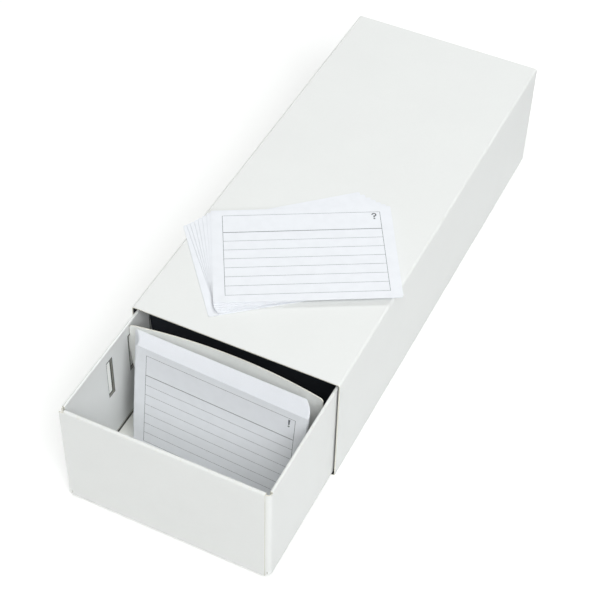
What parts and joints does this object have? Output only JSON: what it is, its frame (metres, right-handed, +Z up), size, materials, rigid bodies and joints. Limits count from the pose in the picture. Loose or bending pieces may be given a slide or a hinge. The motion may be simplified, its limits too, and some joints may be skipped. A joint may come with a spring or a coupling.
{
  "type": "index card drawer",
  "caption": "Folding-board card box: a long sleeve with a matchbox drawer of double walls, plug-in dividers, a leaning stack of ruled cards and a loose fan of cards on top.",
  "frame": {"origin": "middle of the sleeve's underside, on the surface it stands on", "axes": "+Z up, +Y along the sleeve towards its back end, so the drawer opens towards -Y, +X to the right seen from the front"},
  "size_m": [0.0962, 0.2678, 0.057],
  "materials": {
    "sleeve_board": "white coated folding board",
    "drawer_board": "white coated outside, off-white uncoated inside",
    "divider_board": "uncoated grey-beige board",
    "dark_divider_board": "dark grey board, dyed through",
    "card_stock": "smooth bluish white card, ruled"
  },
  "bodies": {
    "sleeve": {"sleeve": "sleeve_board"},
    "drawer": {"drawer_tray": "drawer_board", "divider_front": "divider_board", "divider_rear": "dark_divider_board", "filed_card_05": "card_stock", "filed_card_06": "card_stock", "filed_card_07": "card_stock", "filed_card_08": "card_stock", "filed_card_09": "card_stock", "filed_card_10": "card_stock", "filed_card_11": "card_stock", "filed_card_12": "card_stock", "filed_card_13": "card_stock", "filed_card_14": "card_stock", "filed_card_15": "card_stock", "filed_card_16": "card_stock", "filed_card_17": "card_stock", "filed_card_18": "card_stock", "filed_card_19": "card_stock", "filed_card_20": "card_stock", "filed_card_21": "card_stock", "filed_card_22": "card_stock", "filed_card_23": "card_stock", "filed_card_24": "card_stock", "filed_card_25": "card_stock", "filed_card_26": "card_stock", "filed_card_27": "card_stock", "filed_card_28": "card_stock"},
    "browse_4": {"browse_card_4": "card_stock"},
    "browse_3": {"browse_card_3": "card_stock"},
    "browse_2": {"browse_card_2": "card_stock"},
    "browse_1": {"browse_card_1": "card_stock"},
    "loose_1": {"loose_card_1": "card_stock"},
    "loose_2": {"loose_card_2": "card_stock"},
    "loose_3": {"loose_card_3": "card_stock"},
    "loose_4": {"loose_card_4": "card_stock"},
    "loose_5": {"loose_card_5": "card_stock"},
    "loose_6": {"loose_card_6": "card_stock"},
    "loose_7": {"loose_card_7": "card_stock"},
    "loose_8": {"loose_card_8": "card_stock"}
  },
  "joints": [
    {"name": "drawer_slide", "type": "slide", "parent": "sleeve", "child": "drawer", "axis": [0, -1, 0], "range_m": [-0.05525, 0.14]},
    {"name": "browse_tip_4", "type": "hinge", "parent": "drawer", "child": "browse_4", "pos_m": [0.0029, -0.13074, 0.00188], "axis": [0.999, -0.0454, 0], "range_deg": [0, 4]},
    {"name": "browse_tip_3", "type": "hinge", "parent": "browse_4", "child": "browse_3", "pos_m": [0.0029, -0.13074, 0.00188], "axis": [0.999, -0.0454, 0], "range_deg": [0, 4]},
    {"name": "browse_tip_2", "type": "hinge", "parent": "browse_3", "child": "browse_2", "pos_m": [0.0029, -0.13074, 0.00188], "axis": [0.999, -0.0454, 0], "range_deg": [0, 4]},
    {"name": "browse_tip_1", "type": "hinge", "parent": "browse_2", "child": "browse_1", "pos_m": [0.0029, -0.13074, 0.00188], "axis": [0.999, -0.0454, 0], "range_deg": [0, 27]},
    {"name": "loose_lift", "type": "slide", "parent": "sleeve", "child": "loose_1", "axis": [0, 0, 1], "range_m": [0, 0.06]},
    {"name": "loose_swing_2", "type": "hinge", "parent": "loose_1", "child": "loose_2", "pos_m": [-0.015, -0.09025, 0.0548], "axis": [0, 0, 1], "range_deg": [-6, 1.5]},
    {"name": "loose_swing_3", "type": "hinge", "parent": "loose_2", "child": "loose_3", "pos_m": [-0.015, -0.09025, 0.0548], "axis": [0, 0, 1], "range_deg": [-6, 2]},
    {"name": "loose_swing_4", "type": "hinge", "parent": "loose_3", "child": "loose_4", "pos_m": [-0.015, -0.09025, 0.0548], "axis": [0, 0, 1], "range_deg": [-6, 2.5]},
    {"name": "loose_swing_5", "type": "hinge", "parent": "loose_4", "child": "loose_5", "pos_m": [-0.015, -0.09025, 0.0548], "axis": [0, 0, 1], "range_deg": [-6, 2.1]},
    {"name": "loose_swing_6", "type": "hinge", "parent": "loose_5", "child": "loose_6", "pos_m": [-0.015, -0.09025, 0.0548], "axis": [0, 0, 1], "range_deg": [-6, 2.3]},
    {"name": "loose_swing_7", "type": "hinge", "parent": "loose_6", "child": "loose_7", "pos_m": [-0.015, -0.09025, 0.0548], "axis": [0, 0, 1], "range_deg": [-6, 2.2]},
    {"name": "loose_swing_8", "type": "hinge", "parent": "loose_7", "child": "loose_8", "pos_m": [-0.015, -0.09025, 0.0548], "axis": [0, 0, 1], "range_deg": [-6, 1.9]}
  ]
}
